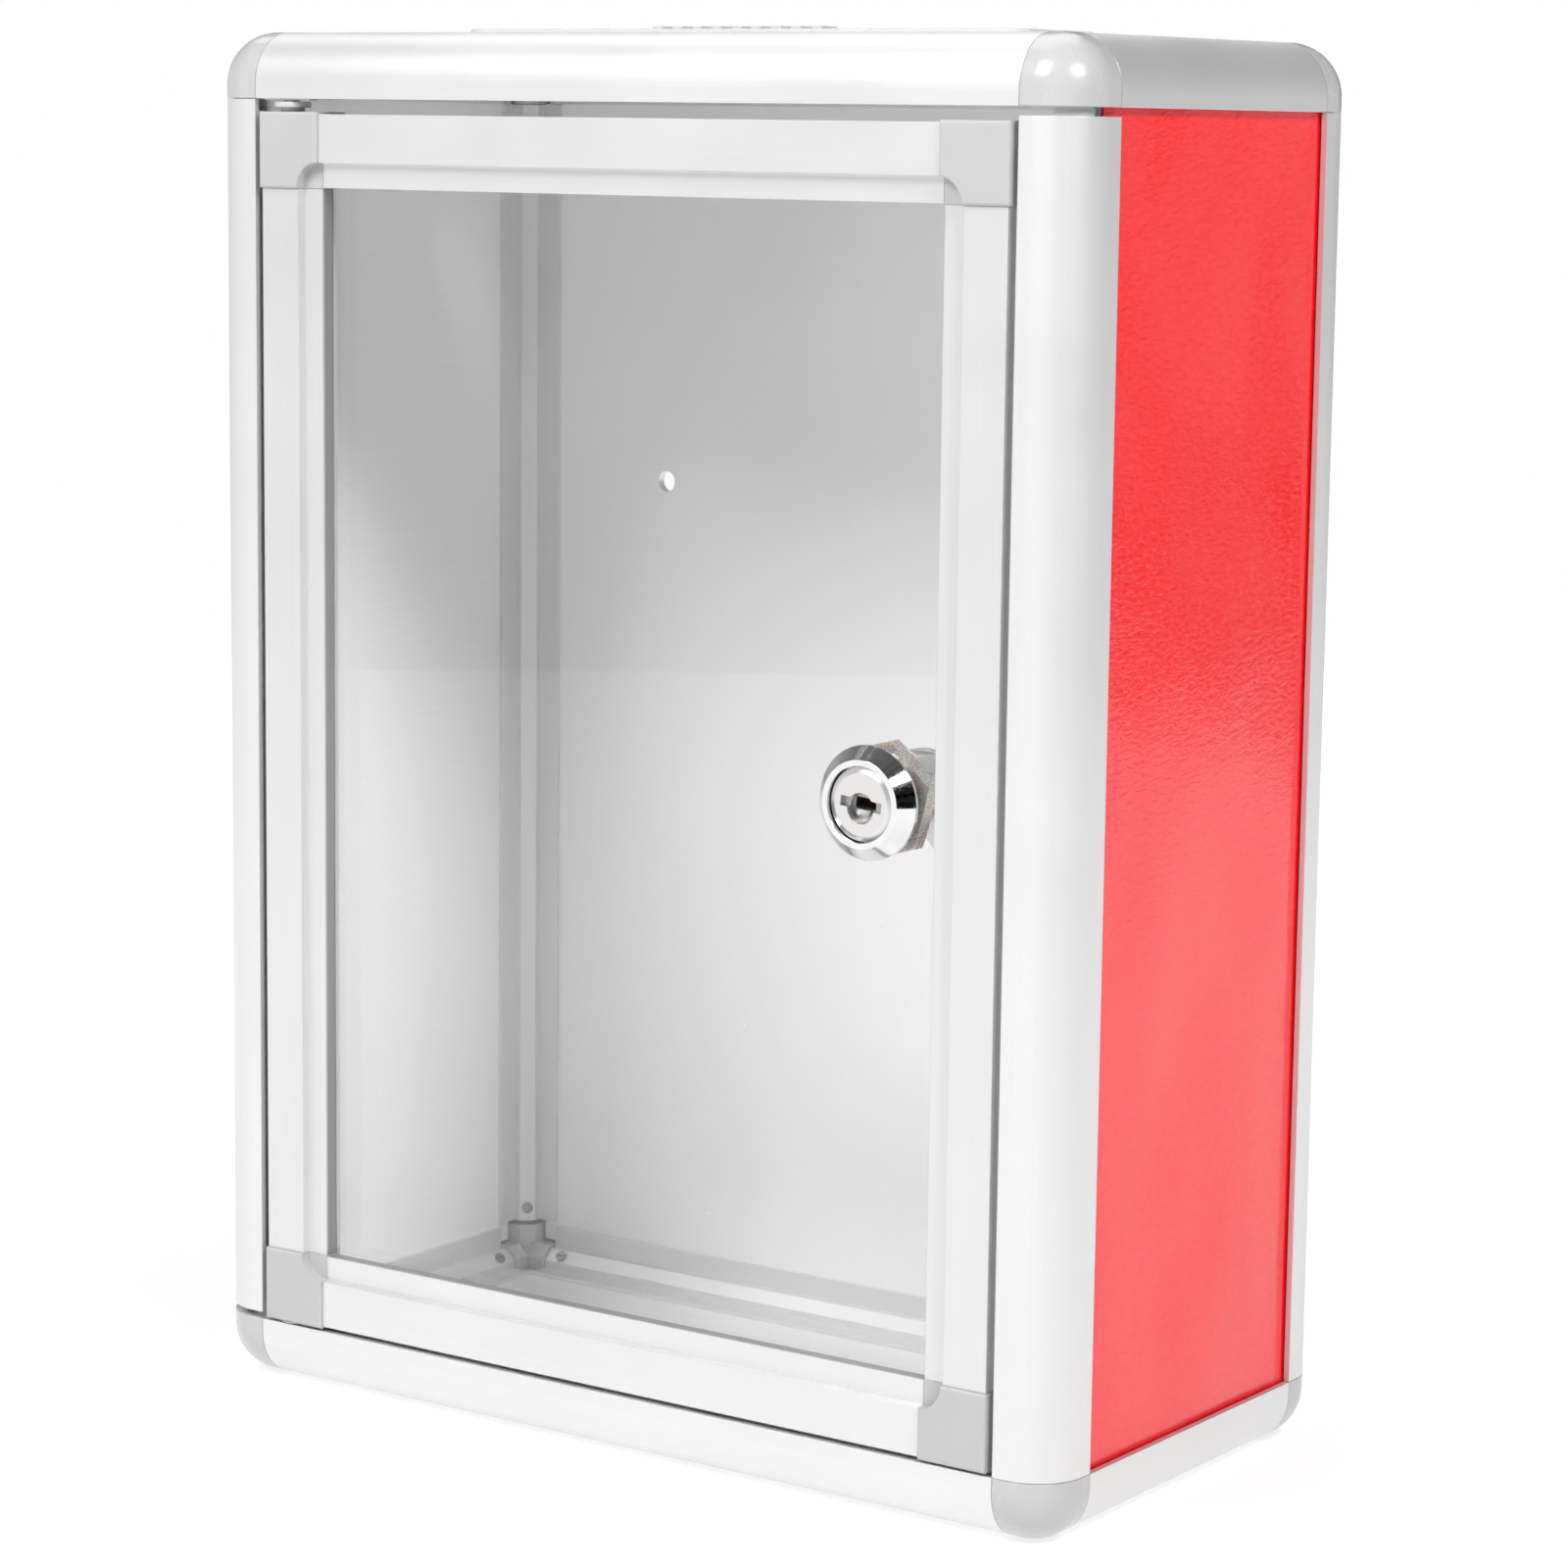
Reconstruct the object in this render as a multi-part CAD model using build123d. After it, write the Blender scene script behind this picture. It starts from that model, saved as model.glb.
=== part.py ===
"""Wall or counter donation box: a framed aluminium case with a glazed, locking front door.

The case is twelve rounded aluminium extrusions joined at eight plastic corner connectors, with
sheet panels held in the extrusions' grooves. Money goes in through a slot plate on top. The
door hangs on two pivot pins at its left edge and is held shut by a cam lock near its right edge.

Frame: millimetres, +X to the right, +Y to the back, +Z up. The origin is under the middle of the
box, on the surface that it stands on.
"""
from build123d import *
import os
from math import sqrt

# ---- the case -------------------------------------------------------------------------------
WIDTH = 200.0           # over the side extrusions
DEPTH = 99.0            # over the front and rear extrusions
HEIGHT = 268.0          # over the top and bottom extrusions
DOOR_PROUD = 0.6        # how far the door's corner pieces stand in front of the case
Y_BACK = (DEPTH + DOOR_PROUD) / 2
Y_FRONT = Y_BACK - DEPTH
Y_MIDDLE = (Y_FRONT + Y_BACK) / 2

# ---- the case extrusion's section, from its rounded outer corner ------------------------------
PROFILE = 12.75         # side of the square that the section fits in
ROUND = 10.0            # radius of the outer quarter round
WALL = 1.2              # outer wall and outer lips
GROOVE_INNER = 3.6      # depth of the panel groove's inner side
LIP_INNER = 4.4         # depth of the inner lip's face
TUBE = 8.2              # size of the closed chamber's outline
TUBE_FACET = 5.9        # where the chamber's 45 degree facet starts
CHAMBER_WALL = 1.0
SLACK = 0.15            # clearance of a connector's leg in a chamber
PANEL_FACE = 1.6        # depth of a panel's outer face
PANEL_THICK = GROOVE_INNER - PANEL_FACE
PANEL_EDGE = 9.4        # a panel's edge, from the outer corner

# ---- the corner connectors --------------------------------------------------------------------
BLOCK = 8.8             # inner block of a connector
BLOCK_FACET = 6.4
LEG = 12.0              # length of a leg inside an extrusion
SCREW_AT = 16.6         # screw position along each arm, from the outer corner
SCREW_R = 0.8
SCREW_HOLE_R = 0.9
SCREW_LENGTH = 2.4
SCREW_HEAD_R = 1.2
SCREW_HEAD = 0.5
SCREW_SLOT = 0.35
CLOSE_FIT = 0.1         # usual gap between an extrusion's end and a connector
GAP_FRONT_RIGHT_TOP = 1.6
GAP_FRONT_LEFT_BOTTOM = 1.3
GAP_REAR_LEFT_BOTTOM = 0.95

# ---- back panel and slot ----------------------------------------------------------------------
WALL_HOLE_R = 2.15
WALL_HOLE_X = 59.0
WALL_HOLE_Z = 177.4
PLATE_LENGTH = 130.0
PLATE_DEPTH = 30.0
PLATE_THICK = 2.9
PLATE_CORNER = 5.0
SLOT_LENGTH = 110.0
SLOT_WIDTH = 7.0
COLLAR_WALL = 2.0
PLATE_EDGE = 1.0        # rounding of the plate's upper edge
SLOT_EDGE = 0.9         # bevel round the slot's mouth
COLLAR_DEPTH = 5.0      # how far the slot's collar reaches below the top panel's outer face
COLLAR_FIT = 0.2
SNAP_OUT = 0.9          # how far the snap ridges stand out from the collar
SNAP_HEIGHT = 1.2
SNAP_LENGTH = 9.0
SNAP_PITCH = 38.0
RIB_COUNT = 9
RIB_PITCH = 4.6
RIB = (2.4, 5.0, 0.5)   # width, length and height
RIB_Y = -9.4            # middle of the ribs, from the middle of the plate

# ---- the door ---------------------------------------------------------------------------------
DOOR_X = 85.5           # outer edge of a door stile
DOOR_BOTTOM = 13.7
DOOR_TOP = 252.4
DOOR_FACE = 0.1         # front face of the door extrusions, behind the case's front
DOOR_FLAT = 9.2         # width of the raised outer flat
DOOR_BEVEL = 0.25
DOOR_STRIP = 14.0       # inner edge of the lower strip
STEP = 1.45             # height of the step between the two
GLAZING_FRONT = 4.35    # depth of the glazing groove's front, from the door's face
GLAZING_GROOVE = 2.5
GLAZING_SEAT = 7.6      # bottom of the glazing groove, from the door's outer edge
REAR_LIP = 12.0
DOOR_DEPTH = 7.8
DOOR_WALL = 1.0
WINDOW_THICK = 2.4
WINDOW_EDGE = 8.3       # edge of the window, from the door's outer edge
CORNER_OVER = 0.4       # how far a corner piece stands out past the extrusions' outer edges
CORNER_SIZE = 14.6
CORNER_EDGE = 0.6       # rounding of a corner piece's front edges
CORNER_CUT = 4.9        # radius of the concave quarter at the inner corner
CORNER_LEG = 12.0

# ---- hinge ------------------------------------------------------------------------------------
HINGE_X = -80.2
HINGE_Y = Y_FRONT + 3.0
PIN_R = 1.5
PIN_HOLE_R = 1.55
PIN_REACH = 7.0         # how far a pin goes into the door's corner piece
PIVOT_LENGTH = 11.6
PIVOT_PROUD = {"top": 0.3, "bottom": 0.1}  # how far a pivot stands out of the rail's groove
BUSH_R = 3.5
BUSH_NECK_R = 2.3
BUSH_NECK = 0.8
BUSH_DISC = 1.05
WASHER_UNDER = 0.2      # thickness of the thin bush under the door

# ---- cam lock ---------------------------------------------------------------------------------
LOCK_X = 55.6
LOCK_Z = 131.4
BEZEL_R = 10.5
BEZEL_RING_R = 8.1
BEZEL_EDGE = 0.7
BEZEL_DEPTH = 3.45
BARREL_R = 8.0
BARREL_HOLE_R = 8.15
BARREL_END = 20.5       # rear end of the barrel, behind the case's front
BARREL_FLATS = 14.6     # across the two flats on the barrel
PLUG_HEAD_R = 6.8
HEAD_GAP = 0.2          # open ring between the plug's head and the bezel
PLUG_HEAD = 2.4
PLUG_RECESS = 0.5       # the plug's face, behind the bezel's ring
PLUG_BEVEL = (1.1, 0.5)
PLUG_R = 5.6
TURN_FIT = 0.05         # radial clearance of the plug in the barrel
KEYWAY = (8.9, 1.9)
KEYWAY_TILT = 5.5       # slope of the keyway at rest, in degrees
KEYWAY_STEP = 1.1       # depth of the keyway's two ends
KEYWAY_MIDDLE = (4.4, 7.0)  # length and depth of its deeper middle
KEY_GUIDE_DROP = 0.8    # middle of the round guide hole, below the lock's axis
KEY_GUIDE_R = 2.85
KEY_GUIDE_DEPTH = 1.8
KEY_POST_R = 1.75
NUT_FLATS = 20.0
NUT_THICK = 3.0
NUT_TURN = -16.0        # turn of the nut on the barrel, in degrees
NUT_BEVEL = 1.2
CAM_THICK = 2.0
CAM_WIDTH = 10.0
CAM_CORNER = 2.5
CAM_HUB_R = 8.0
CAM_GAP = 0.4           # between the barrel's end and the cam
CAM_CRANK_START = 14.5
CAM_CRANK_END = 24.0
CAM_TIP = 34.6
CAM_TIP_Y = 8.6         # front of the cam's tip, behind the case's front
CAM_DROP = 45.0         # the cam at rest, below the locked position, in degrees
TAIL_SIDE = 7.0
TAIL_FIT = 0.05
WASHER_R = 5.5
WASHER_THICK = 0.8
BOLT_R = 2.0
BOLT_HOLE_FIT = 0.1
BOLT_HEAD_R = 3.6
BOLT_HEAD = 2.6
BOLT_HEAD_EDGE = 1.2
BOLT_LENGTH = 8.0
CROSS = (4.4, 0.8, 1.0)  # length, width and depth of the screw's cross recess

SIGNS = {"left": -1, "right": 1, "front": -1, "rear": 1, "bottom": -1, "top": 1}
HALF = (WIDTH / 2, DEPTH / 2, HEIGHT / 2)
MIDDLE = (0.0, Y_MIDDLE, HEIGHT / 2)
JOIN = 1.0              # how far joined solids run into each other, and cutters past a face


def unit(axis, sign=1):
    """A unit vector along axis 0, 1 or 2."""
    parts = [0.0, 0.0, 0.0]
    parts[axis] = float(sign)
    return Vector(*parts)


def edge_plane(along, signs):
    """Plane across the case's edge that runs along an axis.

    Its origin is the middle of the edge, and its X and Y point inward from the outer corner.
    signs holds one sign for each of the two other axes.
    """
    others = [axis for axis in range(3) if axis != along]
    origin = Vector(*MIDDLE)
    for axis, sign in zip(others, signs):
        origin += unit(axis, sign) * HALF[axis]
    inward = [unit(axis, -sign) for axis, sign in zip(others, signs)]
    return Plane(origin=origin, x_dir=inward[0], z_dir=inward[0].cross(inward[1]))


def arc_through(start, end, radius):
    """Quarter-round arc about the section's own centre, from start to end."""
    reach = ROUND - radius / sqrt(2)
    return ThreePointArc(start, (reach, reach), end)


def frame_section():
    """Section of the case extrusion, outer corner at the origin, without its chamber."""
    upper = [
        (0, ROUND), (0, PROFILE), (WALL, PROFILE), (WALL, TUBE), (GROOVE_INNER, TUBE),
        (GROOVE_INNER, PROFILE), (LIP_INNER, PROFILE), (LIP_INNER, TUBE), (TUBE_FACET, TUBE),
    ]
    lower = [(y, x) for x, y in reversed(upper)]
    edges = Polyline(*upper, *lower).edges() + [arc_through((ROUND, 0), (0, ROUND), ROUND)]
    return make_face(edges)


def chamber_section(gap=0.0):
    """The extrusion's chamber, or with a gap the leg that slides into it."""
    radius = ROUND - WALL - gap
    side = TUBE - CHAMBER_WALL - gap
    low = ROUND - sqrt(radius ** 2 - (ROUND - side) ** 2)
    facet = TUBE + TUBE_FACET - (CHAMBER_WALL + gap) * sqrt(2)
    points = [(side, low), (side, facet - side), (facet - side, side), (low, side)]
    edges = Polyline(*points).edges() + [arc_through((low, side), (side, low), radius)]
    return make_face(edges)


def screw_plane(along_at):
    """In an arm's own frame: plane on the facet at the screw, Z pointing out of the facet."""
    facet = (TUBE + TUBE_FACET) / 2
    return Plane(origin=(facet, facet, along_at), x_dir=(0, 0, 1), z_dir=(1, 1, 0))


def screw_hole(along_at):
    """Hole for one corner screw, through the facet and into the leg."""
    deep = SCREW_LENGTH + 0.4
    hole = Cylinder(SCREW_HOLE_R, 2 * deep)
    return screw_plane(along_at) * hole


def frame_extrusion(along, signs, gap_low=CLOSE_FIT, gap_high=CLOSE_FIT):
    """One case extrusion between two connectors, with the screw hole at each end."""
    plane = edge_plane(along, signs)
    up = 1 if plane.z_dir.dot(unit(along)) > 0 else -1
    low = -HALF[along] + PROFILE + gap_low
    high = HALF[along] - PROFILE - gap_high
    if up < 0:
        low, high = -high, -low
    section = frame_section() - chamber_section()
    bar = Pos(0, 0, low) * extrude(section, amount=high - low)
    for end in (-1, 1):
        bar -= screw_hole(end * (HALF[along] - SCREW_AT))
    return plane * bar


def corner_plane(sx, sy, sz):
    """Right-handed plane at an outer corner of the case, with its axes pointing inward."""
    origin = Vector(*MIDDLE) + Vector(sx * HALF[0], sy * HALF[1], sz * HALF[2])
    inward_x, inward_y, inward_z = unit(0, -sx), unit(1, -sy), unit(2, -sz)
    first = inward_x if inward_z.cross(inward_x).dot(inward_y) > 0 else inward_y
    return Plane(origin=origin, x_dir=first, z_dir=inward_z)


def arm_frames():
    """The three arms of a connector: planes at its outer corner, Z along the arm."""
    return [
        Plane(origin=(0, 0, 0), x_dir=(1, 0, 0), z_dir=(0, 0, 1)),
        Plane(origin=(0, 0, 0), x_dir=(0, 1, 0), z_dir=(1, 0, 0)),
        Plane(origin=(0, 0, 0), x_dir=(0, 0, 1), z_dir=(0, 1, 0)),
    ]


def corner_connector():
    """Three-way connector: rounded outer corner, inner block, lips and three legs."""
    low = (Align.MIN, Align.MIN, Align.MIN)
    body = Box(PROFILE, PROFILE, PROFILE, align=low)
    corner_edges = [edge for edge in body.edges() if edge.distance_to((0, 0, 0)) < 0.001]
    body = fillet(corner_edges, ROUND)
    pocket = Box(PROFILE, PROFILE, PROFILE, align=low)
    past = BLOCK + JOIN
    facet_points = [(past, BLOCK_FACET - JOIN), (past, past), (BLOCK_FACET - JOIN, past)]
    facet_cut = make_face(Polyline(*facet_points, close=True).edges())
    leg = Pos(0, 0, PROFILE - JOIN) * extrude(chamber_section(SLACK), amount=LEG + JOIN)
    legs = leg - screw_hole(SCREW_AT)
    for frame in arm_frames():
        body -= frame * Pos(BLOCK, BLOCK, WALL) * pocket
    for frame in arm_frames():
        body -= frame * Pos(0, 0, BLOCK) * extrude(facet_cut, amount=PROFILE)
        body += frame * legs
    return body


def corner_screw():
    """One small self-tapping screw, head on the facet, in an arm's own frame."""
    head = Pos(0, 0, SCREW_HEAD / 2) * Cylinder(SCREW_HEAD_R, SCREW_HEAD)
    slot = Pos(0, 0, SCREW_HEAD) * Box(SCREW_HEAD_R * 1.3, SCREW_SLOT, SCREW_HEAD)
    shank = Pos(0, 0, -SCREW_LENGTH / 2) * Cylinder(SCREW_R, SCREW_LENGTH)
    return screw_plane(SCREW_AT) * (head + shank - slot)


def panel(size_x, size_y, size_z, centre):
    return Pos(*centre) * Box(size_x, size_y, size_z)


def panel_centre(axis, sign):
    """Middle of the panel on one side of the case."""
    centre = list(MIDDLE)
    centre[axis] += sign * (HALF[axis] - PANEL_FACE - PANEL_THICK / 2)
    return centre


def side_panel(sign):
    span_y = DEPTH - 2 * PANEL_EDGE
    span_z = HEIGHT - 2 * PANEL_EDGE
    return panel(PANEL_THICK, span_y, span_z, panel_centre(0, sign))


def back_panel():
    span_x = WIDTH - 2 * PANEL_EDGE
    span_z = HEIGHT - 2 * PANEL_EDGE
    sheet = panel(span_x, PANEL_THICK, span_z, panel_centre(1, 1))
    for side in (-1, 1):
        hole = Rot(90, 0, 0) * Cylinder(WALL_HOLE_R, 4 * PANEL_THICK)
        sheet -= Pos(side * WALL_HOLE_X, panel_centre(1, 1)[1], WALL_HOLE_Z) * hole
    return sheet


def level_panel(sign):
    """Top or bottom panel, without the slot."""
    span_x = WIDTH - 2 * PANEL_EDGE
    span_y = DEPTH - 2 * PANEL_EDGE
    return panel(span_x, span_y, PANEL_THICK, panel_centre(2, sign))


def collar_size():
    return SLOT_LENGTH + 2 * COLLAR_WALL, SLOT_WIDTH + 2 * COLLAR_WALL


def top_panel():
    """Top panel with the cut-out that the slot plate's collar drops into."""
    length, width = collar_size()
    opening = Box(length + 2 * COLLAR_FIT, width + 2 * COLLAR_FIT, 4 * PANEL_THICK)
    return level_panel(1) - Pos(*panel_centre(2, 1)) * opening


def slot_plate():
    """Moulded plate with the money slot, its collar, snap ridges and a row of plain ribs."""
    seat = HEIGHT - PANEL_FACE
    plate = extrude(RectangleRounded(PLATE_LENGTH, PLATE_DEPTH, PLATE_CORNER), amount=PLATE_THICK)
    plate = fillet(plate.edges().group_by(Axis.Z)[-1], PLATE_EDGE)
    length, width = collar_size()
    collar = Pos(0, 0, -COLLAR_DEPTH / 2) * Box(length, width, COLLAR_DEPTH)
    plate += collar
    ridge_z = -PANEL_THICK - SNAP_HEIGHT / 2
    for side in (-1, 1):
        for place in (-1, 0, 1):
            ridge = Box(SNAP_LENGTH, 2 * SNAP_OUT, SNAP_HEIGHT)
            plate += Pos(place * SNAP_PITCH, side * width / 2, ridge_z) * ridge
    for number in range(RIB_COUNT):
        offset = (number - (RIB_COUNT - 1) / 2) * RIB_PITCH
        plate += Pos(offset, RIB_Y, PLATE_THICK) * Box(RIB[0], RIB[1], 2 * RIB[2])
    slot = Box(SLOT_LENGTH, SLOT_WIDTH, 4 * COLLAR_DEPTH)
    plate -= slot
    mouth = [edge for edge in plate.edges().filter_by(Plane.XY) if is_slot_mouth(edge)]
    plate = chamfer(mouth, SLOT_EDGE)
    return Pos(0, Y_MIDDLE, seat) * plate


def is_slot_mouth(edge):
    """True for the slot's four upper edges, on the plate before it is put in place."""
    centre = edge.center()
    inside = abs(centre.X) < SLOT_LENGTH / 2 + 0.1 and abs(centre.Y) < SLOT_WIDTH / 2 + 0.1
    return inside and abs(centre.Z - PLATE_THICK) < 0.01


# ---- door ------------------------------------------------------------------------------------
def door_section():
    """Section of a door extrusion: X inward from the outer edge, Y back from the front face."""
    groove_back = GLAZING_FRONT + GLAZING_GROOVE
    points = [
        (0, 0), (DOOR_FLAT, 0), (DOOR_FLAT + DOOR_BEVEL, STEP), (DOOR_STRIP, STEP),
        (DOOR_STRIP, GLAZING_FRONT), (GLAZING_SEAT, GLAZING_FRONT), (GLAZING_SEAT, groove_back),
        (REAR_LIP, groove_back), (REAR_LIP, DOOR_DEPTH), (0, DOOR_DEPTH),
    ]
    outline = make_face(Polyline(*points, close=True).edges())
    return outline - door_chamber()


def door_chamber(gap=0.0):
    """The door extrusion's chamber, or with a gap the leg that slides into it."""
    low = DOOR_WALL + gap
    right = GLAZING_SEAT - DOOR_WALL - gap
    back = DOOR_DEPTH - DOOR_WALL - gap
    points = [(low, low), (right, low), (right, back), (low, back)]
    return make_face(Polyline(*points, close=True).edges())


def door_plane(side_x, side_z):
    """Section plane at the middle of a door edge; side_x or side_z is 0 for the other kind."""
    origin = (side_x * DOOR_X, Y_FRONT + DOOR_FACE, (DOOR_TOP + DOOR_BOTTOM) / 2)
    if side_z:
        origin = (0, Y_FRONT + DOOR_FACE, DOOR_TOP if side_z > 0 else DOOR_BOTTOM)
    inward = Vector(-side_x, 0, -side_z)
    return Plane(origin=origin, x_dir=inward, z_dir=inward.cross(Vector(0, 1, 0)))


def door_span(side_z):
    """Length of a rail (side_z true) or stile between two corner pieces."""
    full = 2 * DOOR_X if side_z else DOOR_TOP - DOOR_BOTTOM
    return full + 2 * CORNER_OVER - 2 * CORNER_SIZE


def door_member(side_x, side_z):
    """A stile (side_x given) or a rail (side_z given)."""
    length = door_span(side_z) - CLOSE_FIT
    bar = extrude(door_section(), amount=length / 2, both=True)
    return door_plane(side_x, side_z) * bar


def door_corner(side_x, side_z):
    """Moulded corner piece of the door, with a leg into the rail and one into the stile."""
    front = -DOOR_PROUD - DOOR_FACE
    thick = DOOR_DEPTH - front
    block = Pos(-CORNER_OVER, front, -CORNER_OVER) * Box(
        CORNER_SIZE, thick, CORNER_SIZE, align=(Align.MIN, Align.MIN, Align.MIN)
    )
    block = fillet(block.edges().group_by(Axis.Y)[0], CORNER_EDGE)
    inner = CORNER_SIZE - CORNER_OVER
    cut_depth = STEP - front
    quarter = Pos(inner, front + cut_depth / 2, inner) * Rot(90, 0, 0) * Cylinder(CORNER_CUT, cut_depth)
    block -= quarter
    pane = Pos(GLAZING_SEAT, GLAZING_FRONT, GLAZING_SEAT) * Box(
        CORNER_SIZE, GLAZING_GROOVE, CORNER_SIZE, align=(Align.MIN, Align.MIN, Align.MIN)
    )
    behind = Pos(REAR_LIP, GLAZING_FRONT, REAR_LIP) * Box(
        CORNER_SIZE, DOOR_DEPTH, CORNER_SIZE, align=(Align.MIN, Align.MIN, Align.MIN)
    )
    block = block - pane - behind
    reach = CORNER_LEG + JOIN
    leg = Pos(0, 0, inner - JOIN) * extrude(door_chamber(SLACK), amount=reach)
    block += leg
    along_x = Plane(origin=(0, 0, 0), x_dir=(0, 0, 1), z_dir=(1, 0, 0))
    across = Pos(0, 0, inner - JOIN) * extrude(mirror(door_chamber(SLACK), Plane.XZ), amount=reach)
    block += along_x * across
    if side_x < 0:
        hole = Cylinder(PIN_HOLE_R, PIN_REACH + JOIN, align=(Align.CENTER, Align.CENTER, Align.MIN))
        block -= Pos(HINGE_X + DOOR_X, HINGE_Y - Y_FRONT - DOOR_FACE, -CORNER_OVER) * hole
    if side_x > 0:
        block = mirror(block, Plane.YZ)
    if side_z > 0:
        block = mirror(block, Plane.XY)
    z = DOOR_TOP if side_z > 0 else DOOR_BOTTOM
    return Pos(side_x * DOOR_X, Y_FRONT + DOOR_FACE, z) * block


def on_lock_axis(solid):
    """Put a solid made about +Z onto the lock's axis, +Z becoming +Y, 0 at the case's front."""
    return Pos(LOCK_X, Y_FRONT, LOCK_Z) * Rot(-90, 0, 0) * solid


def door_window():
    """Clear acrylic pane, with the lock's hole."""
    width = 2 * (DOOR_X - WINDOW_EDGE)
    height = DOOR_TOP - DOOR_BOTTOM - 2 * WINDOW_EDGE
    front = DOOR_FACE + GLAZING_FRONT + (GLAZING_GROOVE - WINDOW_THICK) / 2
    y = Y_FRONT + front + WINDOW_THICK / 2
    pane = Pos(0, y, (DOOR_TOP + DOOR_BOTTOM) / 2) * Box(width, WINDOW_THICK, height)
    hole = Pos(0, 0, front) * Cylinder(BARREL_HOLE_R, 4 * WINDOW_THICK)
    return pane - on_lock_axis(hole)


def window_faces():
    """Front and rear faces of the pane, behind the case's front."""
    front = DOOR_FACE + GLAZING_FRONT + (GLAZING_GROOVE - WINDOW_THICK) / 2
    return front, front + WINDOW_THICK


def turned(points):
    """Solid of revolution about Z from a half section given as (radius, height) points."""
    outline = Plane.XZ * make_face(Polyline(*points, close=True).edges())
    return revolve(outline, Axis.Z)


# ---- hinge -----------------------------------------------------------------------------------
def hinge_pivot(level):
    """Pivot held in the case rail's groove, with the pin that carries the door."""
    up = SIGNS[level]
    lip_edge = HEIGHT - PROFILE if up > 0 else PROFILE
    groove_end = HEIGHT - TUBE if up > 0 else TUBE
    door_end = DOOR_TOP + CORNER_OVER if up > 0 else DOOR_BOTTOM - CORNER_OVER
    near = lip_edge - up * PIVOT_PROUD[level]
    far = groove_end - up * CLOSE_FIT
    groove_y = Y_FRONT + (WALL + GROOVE_INNER) / 2
    thick = GROOVE_INNER - WALL - CLOSE_FIT
    block = Pos(HINGE_X, groove_y, (near + far) / 2) * Box(PIVOT_LENGTH, thick, abs(far - near))
    pin_root = lip_edge - up * PIVOT_PROUD[level] / 2
    pin_tip = door_end - up * PIN_REACH
    pin = Pos(HINGE_X, HINGE_Y, (pin_tip + pin_root) / 2) * Cylinder(PIN_R, abs(pin_root - pin_tip))
    return block + pin


def hinge_bush(level):
    """Nylon bush round the pin, resting on the door's corner piece."""
    on_top = (Align.CENTER, Align.CENTER, Align.MIN)
    if level == "top":
        neck = Cylinder(BUSH_NECK_R, BUSH_NECK, align=on_top)
        disc = Pos(0, 0, BUSH_NECK) * Cylinder(BUSH_R, BUSH_DISC, align=on_top)
        bush = Pos(0, 0, DOOR_TOP + CORNER_OVER) * (neck + disc)
    else:
        washer = Cylinder(BUSH_R, WASHER_UNDER, align=on_top)
        bush = Pos(0, 0, DOOR_BOTTOM - CORNER_OVER - WASHER_UNDER) * washer
    bore = Cylinder(PIN_HOLE_R, 4 * HEIGHT)
    return Pos(HINGE_X, HINGE_Y, 0) * (bush - bore)


# ---- lock ------------------------------------------------------------------------------------
def plug_face():
    """Depth of the plug's face, behind the case's front."""
    return window_faces()[0] - BEZEL_DEPTH + PLUG_RECESS


def lock_body():
    """Chromed lock housing: bevelled bezel in front of the pane and barrel through it."""
    pane = window_faces()[0]
    ring = pane - BEZEL_DEPTH
    bore = PLUG_R + TURN_FIT
    seat = PLUG_HEAD_R + HEAD_GAP
    seat_depth = plug_face() + PLUG_HEAD + TURN_FIT
    points = [
        (seat, ring), (BEZEL_RING_R, ring), (BEZEL_R, pane - BEZEL_EDGE), (BEZEL_R, pane),
        (BARREL_R, pane), (BARREL_R, BARREL_END), (bore, BARREL_END), (bore, seat_depth), (seat, seat_depth),
    ]
    body = turned(points)
    for side in (-1, 1):
        flat = Box(4 * BARREL_R, BARREL_R, 4 * BARREL_END, align=(Align.CENTER, Align.MIN, Align.MIN))
        body -= Pos(0, side * BARREL_FLATS / 2, window_faces()[1]) * Rot(0, 0, 90 - side * 90) * flat
    return on_lock_axis(body)


def lock_nut():
    """Hexagonal nut that clamps the pane against the bezel."""
    corner = NUT_FLATS / sqrt(3)
    hexagon = extrude(RegularPolygon(corner, 6), amount=NUT_THICK)
    cone = turned([
        (0, 0), (corner + 0.1, 0), (corner + 0.1, NUT_THICK - NUT_BEVEL / 2),
        (corner - NUT_BEVEL, NUT_THICK), (0, NUT_THICK),
    ])
    nut = (hexagon & cone) - Cylinder(BARREL_R + TURN_FIT, 4 * NUT_THICK)
    return on_lock_axis(Pos(0, 0, window_faces()[1]) * Rot(0, 0, NUT_TURN) * nut)


def key_hole():
    """Material to cut from the plug for the keyway and its round guide hole."""
    down = (Align.CENTER, Align.CENTER, Align.MIN)
    length, width = KEYWAY
    slot = Box(length, width, KEYWAY_STEP, align=down)
    slot += Box(KEYWAY_MIDDLE[0], width, KEYWAY_MIDDLE[1], align=down)
    guide = turned([
        (0, 0), (KEY_GUIDE_R, 0), (KEY_GUIDE_R, KEY_GUIDE_DEPTH), (KEY_POST_R, KEY_GUIDE_DEPTH),
        (KEY_POST_R, KEY_GUIDE_DEPTH / 2), (KEY_POST_R / 2, KEY_GUIDE_DEPTH / 4), (0, KEY_GUIDE_DEPTH / 5),
    ])
    return Rot(0, 0, KEYWAY_TILT) * (slot + Pos(0, KEY_GUIDE_DROP, 0) * guide)


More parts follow.
